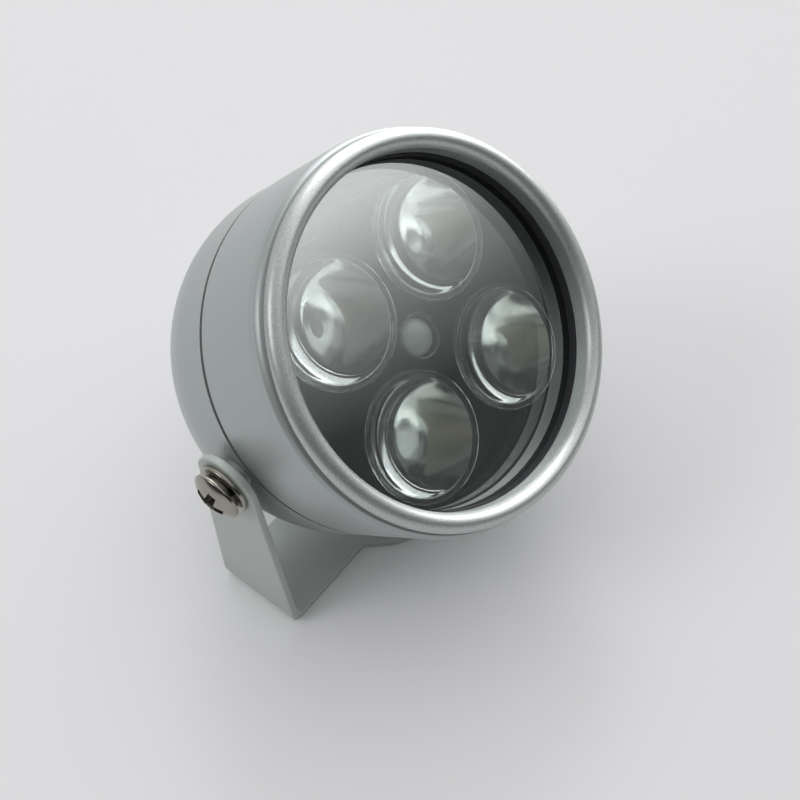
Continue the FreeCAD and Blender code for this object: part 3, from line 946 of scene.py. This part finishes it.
class ILLUMINATOR_OT_optics(bpy.types.Operator):
    """Builds the four emitter modules: holder, lens, silvered cup and emitter"""

    bl_idname = "illuminator.optics"
    bl_label = "Emitter modules"

    def execute(self, context):
        for quarter, signs in QUARTERS.items():
            place = optic_place(signs)
            self.holder(quarter, place)
            self.lens(quarter, place)
            self.cup(quarter, place)
            self.emitter(quarter, place)
        return {"FINISHED"}

    def holder(self, quarter, place):
        sizes = optic_sizes()
        board = head_sizes().board
        seat = sizes.flange + sizes.flange_thick
        bore = sizes.holder_r - sizes.holder_wall
        half = sizes.holder_wall / 2
        step = 0.5 * MM
        foot = board - 1.2 * MM
        foot_r = sizes.holder_r + 0.15 * MM
        outline = softened([
            (bore, sizes.holder_top, 0.12 * MM),
            (sizes.holder_r - half, sizes.holder_top, 0.15 * MM),
            (sizes.holder_r, sizes.holder_top + half, 0.2 * MM),
            (sizes.holder_r, foot),
            (foot_r, foot),
            (foot_r, board),
            (bore - step, board),
            (bore - step, seat + 2 * MM),
            (bore, seat + 2 * MM),
        ], 0.06 * MM)
        name = "lens_holder_" + quarter
        turned(name + "_tube", outline, "black_plastic", name, place, sizes.segments)

    def lens(self, quarter, place):
        sizes = optic_sizes()
        top = sizes.flange
        base = top + sizes.flange_thick
        crown = self.cap(sizes.crown_r, top, top - sizes.crown, 14)
        belly = self.cap(sizes.belly_r, base, base + sizes.belly, 18)
        groove = 0.14 * MM
        outline = softened([
            *[(*point, 0) for point in reversed(crown)],
            (sizes.crown_r + 0.06 * MM, top + groove, 0.05 * MM),
            (sizes.crown_r + 0.2 * MM, top + groove, 0.05 * MM),
            (sizes.crown_r + 0.28 * MM, top, 0.05 * MM),
            (sizes.lens_r, top, 0.15 * MM),
            (sizes.lens_r, base, 0.12 * MM),
            (sizes.belly_r, base, 0.2 * MM),
            *[(*point, 0) for point in belly[1:]],
        ], 0.05 * MM, 4, False)
        name = "lens_" + quarter
        turned(name + "_glass", outline, "lens_glass", name, place, sizes.segments, False)

    def cap(self, edge_r, edge, pole, steps):
        """Points of a spherical cap, from its edge to its pole."""
        height = abs(pole - edge)
        ball = (edge_r ** 2 + height ** 2) / (2 * height)
        wide = math.atan2(edge_r, ball - height)
        way = 1 if pole > edge else -1
        centre = pole - way * ball
        points = []
        for step in range(steps + 1):
            angle = wide * (1 - step / steps)
            points.append((ball * math.sin(angle), centre + way * ball * math.cos(angle)))
        return points

    def cup(self, quarter, place):
        sizes = optic_sizes()
        board = head_sizes().board
        top = sizes.flange + sizes.flange_thick
        mouth = sizes.belly_r + FIT
        wall = 0.12 * MM
        points = 16
        inner = []
        for step in range(points + 1):
            share = step / points
            radius = sizes.cup_foot_r + (mouth - wall - sizes.cup_foot_r) * share ** 0.55
            inner.append((radius, board - (board - top) * share))
        outer = [(radius + wall, station) for radius, station in reversed(inner)]
        name = "reflector_" + quarter
        turned(name + "_cup", inner + outer, "silvered_cup", name, place, sizes.segments)

    def emitter(self, quarter, place):
        sizes = optic_sizes()
        board = head_sizes().board
        top = board - sizes.led_thick
        base = softened([
            (0, top),
            (sizes.led_r, top, 0.15 * MM),
            (sizes.led_r, board),
            (0, board),
        ], 0.05 * MM, 3, False)
        name = "led_" + quarter
        turned(name + "_base", base, "emitter", name, place, 48, False)
        die = bmesh.new()
        bmesh.ops.create_cube(die, size=1.0)
        bmesh.ops.scale(die, vec=(sizes.die, sizes.die_thick, sizes.die), verts=die.verts)
        bmesh.ops.bevel(die, geom=die.edges, offset=0.04 * MM, segments=2, affect="EDGES")
        where = head_place() @ place @ Matrix.Translation((0, top - sizes.die_thick / 2, 0))
        piece(name + "_die", die, where, ["die"], "head")
        dome = self.cap(sizes.led_dome_r, top, top - sizes.led_dome_r * 0.98, 12)
        turned(name + "_dome", [*dome, (0, top)], "lens_glass", None, place, 48, True)


class ILLUMINATOR_OT_sensor(bpy.types.Operator):
    """Builds the light sensor and the clear sleeve round it"""

    bl_idname = "illuminator.sensor"
    bl_label = "Light sensor"

    def execute(self, context):
        sizes = optic_sizes()
        board = head_sizes().board
        rise = 1.5 * MM
        foot = board - 1.0 * MM
        foot_r = sizes.sensor_r + 0.3 * MM
        tip = [
            (max(across * sizes.sensor_r, 0), sizes.sensor_top + rise * (1 + along), 0)
            for across, along in arc((0, 0), 1, -90, 0, 14)
        ]
        outline = softened([
            *tip,
            (sizes.sensor_r, foot, 0),
            (foot_r, foot),
            (foot_r, board),
            (0, board),
        ], 0.08 * MM, 3, False)
        turned("photocell_body", outline, "sensor_resin", "photocell", None, 64, False)
        wall = 0.4 * MM
        sleeve = softened([
            (sizes.sleeve_r - wall, sizes.sensor_top),
            (sizes.sleeve_r, sizes.sensor_top),
            (sizes.sleeve_r, board),
            (sizes.sleeve_r - wall, board),
        ], 0.15 * MM)
        name = "photocell_sleeve"
        turned(name + "_tube", sleeve, "clear_sleeve", name, None, 64)
        return {"FINISHED"}


class ILLUMINATOR_OT_boards(bpy.types.Operator):
    """Finishes the boards and the small pieces between and behind them"""

    bl_idname = "illuminator.boards"
    bl_label = "Boards"

    def execute(self, context):
        kept = {
            "led_board": "board",
            "led_board_screws": "black_coat",
            "board_spacers": "brass",
            "driver_board": "green_board",
            "driver_screws": "nickel",
            "driver_inductor": "ferrite",
            "driver_capacitor": "can",
            "driver_chip": "black_plastic",
            "link_wires": "wire_cover",
            "gland_nut": "black_plastic",
        }
        for name, material in kept.items():
            paint_node(name, material)
        return {"FINISHED"}


class ILLUMINATOR_OT_gland(bpy.types.Operator):
    """Builds the cable gland in the tail"""

    bl_idname = "illuminator.gland"
    bl_label = "Cable gland"

    def execute(self, context):
        sizes = head_sizes()
        mount = mount_sizes()
        flat = sizes.tail_flat_r
        tail = sizes.dome + sizes.dome_length * math.sqrt(1 - (flat / sizes.body_r) ** 2)
        inner = tail - mount.thread_length
        end = tail + mount.gland_length
        end_r = mount.gland_bore_r + mount.gland_wall
        ribs = []
        count = 4
        start = tail + mount.gland_length / 3
        for rib in range(count):
            share = rib / count
            radius = mount.gland_r - (mount.gland_r - end_r) * share
            place = start + (mount.gland_length * 2 / 3) * share
            ribs += [(radius, place + 0.1 * MM), (radius - 0.15 * MM, place + 0.7 * MM)]
            ribs += [(radius - 0.6 * MM, place + 0.75 * MM)]
        outline = softened([
            (mount.gland_bore_r, inner),
            (mount.thread_r, inner),
            (mount.thread_r, tail),
            (mount.gland_r, tail, 0.3 * MM),
            *ribs,
            (end_r, end, 0.3 * MM),
            (mount.gland_bore_r, end, 0.2 * MM),
        ], 0.08 * MM, 3)
        turned("cable_gland_ribbed", outline, "rubber", "cable_gland", None, 64)
        return {"FINISHED"}


class ILLUMINATOR_OT_fasteners(bpy.types.Operator):
    """Builds the pivot screws with their flat and split washers"""

    bl_idname = "illuminator.fasteners"
    bl_label = "Pivot fasteners"

    def execute(self, context):
        for side, name in ((-1, "left"), (1, "right")):
            place = head_place() @ on_axis_x(side)
            first = side == -1
            self.flat_washer(name, place, ["flat_washers"] if first else ())
            self.split_washer(name, place, ["spring_washers"] if first else ())
            self.screw(name, place, ["pivot_screws"] if first else ())
        return {"FINISHED"}

    def flat_washer(self, name, place, nodes):
        mount = mount_sizes()
        outline = softened([
            (mount.screw_r + WASHER_PLAY, mount.outside),
            (mount.flat_washer_r, mount.outside, 0.15 * MM),
            (mount.flat_washer_r, mount.outside + mount.flat_washer, 0.3 * MM),
            (mount.screw_r + WASHER_PLAY, mount.outside + mount.flat_washer),
        ], 0.08 * MM)
        mesh = bmesh.new()
        turned_faces(mesh, outline, 72, True)
        piece("flat_washer_" + name, mesh, place, ["nickel"], "head", nodes)

    def split_washer(self, name, place, nodes):
        """A split ring whose ends are slightly apart."""
        mount = mount_sizes()
        start = mount.outside + mount.flat_washer
        stop = start + mount.spring_washer
        section = softened([
            (mount.screw_r + WASHER_PLAY, start),
            (mount.spring_washer_r, start),
            (mount.spring_washer_r, stop),
            (mount.screw_r + WASHER_PLAY, stop),
        ], 0.12 * MM)
        mesh = bmesh.new()
        steps = 72
        gap = math.radians(12)
        rings = []
        for step in range(steps + 1):
            angle = gap / 2 + (2 * math.pi - gap) * step / steps
            rings.append([
                mesh.verts.new((radius * math.cos(angle), station, radius * math.sin(angle)))
                for radius, station in section
            ])
        capped_faces(mesh, rings)
        # the split washer takes the darkened nickel: painted shade under the screw head
        piece("split_washer_" + name, mesh, place, ["dark_nickel"], "head", nodes)

    def screw(self, name, place, nodes):
        """A pan head with a tapered cross recess on a plain shank."""
        mount = mount_sizes()
        end = mount.outside - mount.screw_depth
        seat = mount.outside + mount.flat_washer + mount.spring_washer
        rim = seat + mount.screw_rim
        top = seat + mount.screw_head
        rise = top - rim
        ball = (mount.screw_head_r ** 2 + rise ** 2) / (2 * rise)
        wide = math.asin(mount.screw_head_r / ball)
        dome = []
        steps = 14
        for step in range(steps + 1):
            angle = wide * (1 - step / steps)
            corner = 0.8 * MM if step == 0 else 0
            dome.append((ball * math.sin(angle), top - ball + ball * math.cos(angle), corner))
        outline = softened([
            (0, end),
            (mount.screw_r, end, 0.3 * MM),
            (mount.screw_r, seat),
            (mount.screw_head_r, seat, 0.2 * MM),
            *dome,
        ], 0.05 * MM, 4, False)
        mesh = bmesh.new()
        turned_faces(mesh, outline, 72, False)
        # the second slot is nickel darkened as painted shade for the inside of the cross recess
        materials = ["nickel", "dark_nickel"]
        thing = piece("pivot_screw_" + name, mesh, place, materials, "head", nodes)
        self.cut_cross(thing, place, top)
        # faces inside the cross recess take the darkened nickel: painted shade in the recess
        back = place.inverted()
        for face in thing.data.polygons:
            x, station, z = back @ face.center
            radius = math.hypot(x, z)
            if radius < mount.screw_head_r and station > seat:
                surface = top - ball + math.sqrt(ball ** 2 - radius ** 2)
                if station < surface - 0.05 * MM and radius < 0.75 * mount.screw_head_r:
                    face.material_index = 1

    def cut_cross(self, thing, place, top):
        """Cuts the cross recess: four wings that narrow to a point."""
        cutter = bmesh.new()
        first_spin = -25
        levels = [  # station, reach of a wing, half its width
            (top + 0.5 * MM, 2.7 * MM, 0.85 * MM),
            (top - 0.8 * MM, 2.2 * MM, 0.65 * MM),
            (top - 1.8 * MM, 0.9 * MM, 0.4 * MM),
        ]
        rings = []
        for station, reach, half in levels:
            quarter = [(reach, -half), (reach, half), (half, half)]
            ring = []
            for turn in range(4):
                spin = math.radians(90 * turn + first_spin)
                for x, z in quarter:
                    across = x * math.cos(spin) - z * math.sin(spin)
                    along = x * math.sin(spin) + z * math.cos(spin)
                    ring.append(cutter.verts.new((across, station, along)))
            rings.append(ring)
        capped_faces(cutter, rings)
        bmesh.ops.recalc_face_normals(cutter, faces=cutter.faces)
        data = mesh_data("cross_cutter", cutter)
        data.transform(place)
        tool = add_object("cross_cutter", data)
        cut = thing.modifiers.new("Cross recess", "BOOLEAN")
        cut.operation = "DIFFERENCE"
        cut.solver = "EXACT"
        cut.object = tool
        thing.modifiers.move(1, 0)
        result = evaluated_mesh(thing)
        thing.modifiers.clear()
        thing.data = result
        bpy.data.objects.remove(tool)
        bpy.data.meshes.remove(data)


class ILLUMINATOR_OT_bracket(bpy.types.Operator):
    """Builds the folded bracket with its round ears, pad and holes"""

    bl_idname = "illuminator.bracket"
    bl_label = "Bracket"

    def execute(self, context):
        mount = mount_sizes()
        flat = self.flat_sheet(mount)
        self.fold(flat, mount)
        piece(
            "bracket_folded", flat, Matrix.Identity(4), ["bracket_paint"], "mount",
            ["bracket"], 50,
        )
        return {"FINISHED"}

    def lengths(self, mount):
        """Flat lengths from the middle: to the fold, past the fold, to the pivot."""
        to_fold = mount.outside - mount.fold_r
        past_fold = to_fold + (mount.fold_r - mount.sheet / 2) * math.pi / 2
        to_pivot = past_fold + head_sizes().pivot_height - mount.fold_r
        return to_fold, past_fold, to_pivot

    def quarter_outline(self, mount):
        """One quarter of the flat outline, from the pad's side to the ear's tip."""
        _, past_fold, to_pivot = self.lengths(mount)
        reach = mount.pad_r + mount.neck_r
        neck_v = mount.foot_half + mount.neck_r
        neck_u = math.sqrt(reach ** 2 - neck_v ** 2)
        pad_stop = math.degrees(math.atan2(neck_v, neck_u))
        points = arc((0, 0), mount.pad_r, 90, pad_stop, 40)
        points += arc((neck_u, neck_v), mount.neck_r, 180 + pad_stop, 270, 12)
        points.append((past_fold, mount.foot_half))
        rise = to_pivot - past_fold
        span = math.hypot(mount.foot_half, rise)
        touch = math.degrees(math.acos(mount.ear_r / span) - math.atan2(rise, mount.foot_half))
        points += arc((to_pivot, 0), mount.ear_r, 90 - touch, 0, 24)
        return points

    def flat_sheet(self, mount):
        """The cut sheet before folding, with soft edges, as a bmesh in its own plane."""
        quarter = self.quarter_outline(mount)
        right = quarter + [(u, -v) for u, v in reversed(quarter[:-1])]
        loop = right + [(-u, -v) for u, v in right[1:-1]]
        curve = bpy.data.curves.new("sheet", "CURVE")
        curve.dimensions = "2D"
        curve.fill_mode = "BOTH"
        curve.bevel_depth = mount.edge_r
        curve.bevel_resolution = 3
        curve.extrude = mount.sheet / 2 - mount.edge_r
        curve.offset = -mount.edge_r
        self.add_loop(curve, loop)
        self.add_loop(curve, arc((0, 0), mount.centre_hole_r, 0, 352.5, 47))
        for index in range(3):
            angle = math.radians(-90 + 120 * index)
            reach = mount.pad_hole_circle_r
            centre = (reach * math.cos(angle), reach * math.sin(angle))
            self.add_loop(curve, arc(centre, mount.pad_hole_r, 0, 350, 35))
        to_pivot = self.lengths(mount)[2]
        for side in (-1, 1):
            self.add_loop(curve, arc((side * to_pivot, 0), mount.screw_r + 0.05 * MM, 0, 350, 35))
        thing = add_object("sheet", curve)
        data = evaluated_mesh(thing)
        bpy.data.objects.remove(thing)
        mesh = bmesh.new()
        mesh.from_mesh(data)
        bpy.data.meshes.remove(data)
        bmesh.ops.remove_doubles(mesh, verts=mesh.verts, dist=0.001 * MM)
        return mesh

    def add_loop(self, curve, points):
        spline = curve.splines.new("POLY")
        spline.points.add(len(points) - 1)
        for point, (u, v) in zip(spline.points, points):
            point.co = (u, v, 0, 1)
        spline.use_cyclic_u = True

    def fold(self, mesh, mount):
        """Bends the sheet up at both folds."""
        to_fold, past_fold, _ = self.lengths(mount)
        steps = 12
        for side in (-1, 1):
            for step in range(steps + 1):
                cut = to_fold + (past_fold - to_fold) * step / steps
                geometry = list(mesh.verts) + list(mesh.edges) + list(mesh.faces)
                bmesh.ops.bisect_plane(
                    mesh, geom=geometry, dist=1e-8, plane_co=(side * cut, 0, 0), plane_no=(1, 0, 0)
                )
        middle_r = mount.fold_r - mount.sheet / 2
        for vertex in mesh.verts:
            u, v, w = vertex.co
            side = -1 if u < 0 else 1
            run = abs(u)
            if run <= to_fold:
                x, z = run, mount.sheet / 2 + w
            elif run <= past_fold:
                angle = (run - to_fold) / middle_r
                x = to_fold + (middle_r - w) * math.sin(angle)
                z = mount.fold_r - (middle_r - w) * math.cos(angle)
            else:
                x = mount.outside - mount.sheet / 2 - w
                z = mount.fold_r + run - past_fold
            vertex.co = (side * x, v, z)


class ILLUMINATOR_PT_panel(bpy.types.Panel):
    """Lists the steps that build the illuminator"""

    bl_idname = "ILLUMINATOR_PT_panel"
    bl_label = "Illuminator"
    bl_space_type = "VIEW_3D"
    bl_region_type = "UI"
    bl_category = "Illuminator"

    def draw(self, context):
        for operator in OPERATORS:
            self.layout.operator(operator.bl_idname)
        for group in (head_sizes(), optic_sizes(), mount_sizes(), finishes()):
            box = self.layout.box()
            for name in group.bl_rna.properties.keys():
                if name not in ("rna_type", "name"):
                    box.prop(group, name)


OPERATORS = (
    ILLUMINATOR_OT_stage,
    ILLUMINATOR_OT_housings,
    ILLUMINATOR_OT_window,
    ILLUMINATOR_OT_optics,
    ILLUMINATOR_OT_sensor,
    ILLUMINATOR_OT_boards,
    ILLUMINATOR_OT_gland,
    ILLUMINATOR_OT_fasteners,
    ILLUMINATOR_OT_bracket,
)
GROUPS = {
    "illuminator_head": HeadSizes,
    "illuminator_optics": OpticSizes,
    "illuminator_mount": MountSizes,
    "illuminator_finishes": Finishes,
}
CLASSES = (*GROUPS.values(), *OPERATORS, ILLUMINATOR_PT_panel)


def register():
    for kind in CLASSES:
        bpy.utils.register_class(kind)
    for name, group in GROUPS.items():
        setattr(bpy.types.Scene, name, PointerProperty(type=group))


def unregister():
    for name in GROUPS:
        delattr(bpy.types.Scene, name)
    for kind in reversed(CLASSES):
        bpy.utils.unregister_class(kind)


def main():
    register()
    for operator in OPERATORS:
        module, name = operator.bl_idname.split(".")
        getattr(getattr(bpy.ops, module), name)()


if __name__ == "__main__":
    main()
